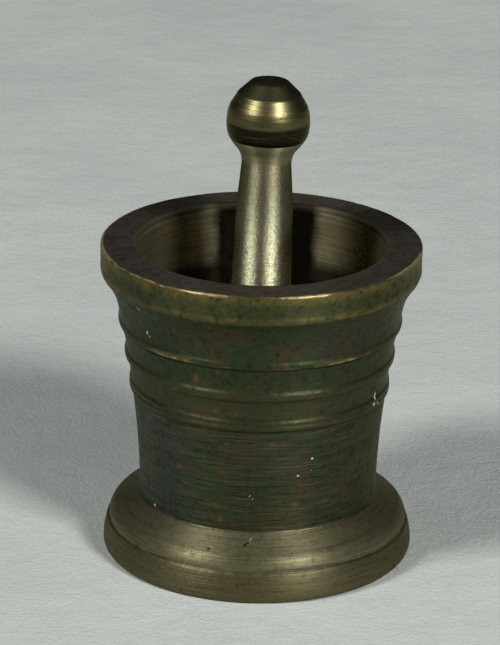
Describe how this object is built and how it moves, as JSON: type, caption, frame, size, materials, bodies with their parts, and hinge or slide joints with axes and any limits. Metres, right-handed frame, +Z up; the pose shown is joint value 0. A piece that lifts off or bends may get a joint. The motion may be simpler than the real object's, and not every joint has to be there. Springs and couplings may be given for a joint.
{
  "type": "mortar and pestle pill crusher",
  "caption": "Small turned brass mortar with ringed flaring body, wide foot and deep bowl, and a loose knobbed pestle for crushing pills.",
  "frame": {"origin": "centre of the mortar's flat base, on the surface it stands on", "axes": "+Z up along the mortar's axis, +X towards the side the pestle leans to, -Y towards the viewer"},
  "size_m": [0.045, 0.045, 0.0691],
  "materials": {
    "darkened_brass": "turned, darkened by patina, worn bright on the edges",
    "bright_brass": "turned, dull and finely marked, brighter where it is handled"
  },
  "bodies": {
    "mortar": {"mortar_body": "darkened_brass"},
    "pestle": {"pestle": "bright_brass"}
  },
  "joints": [
    {"name": "pestle_lift", "type": "slide", "parent": "mortar", "child": "pestle", "axis": [0, 0, 1], "range_m": [0, 0.045]}
  ]
}
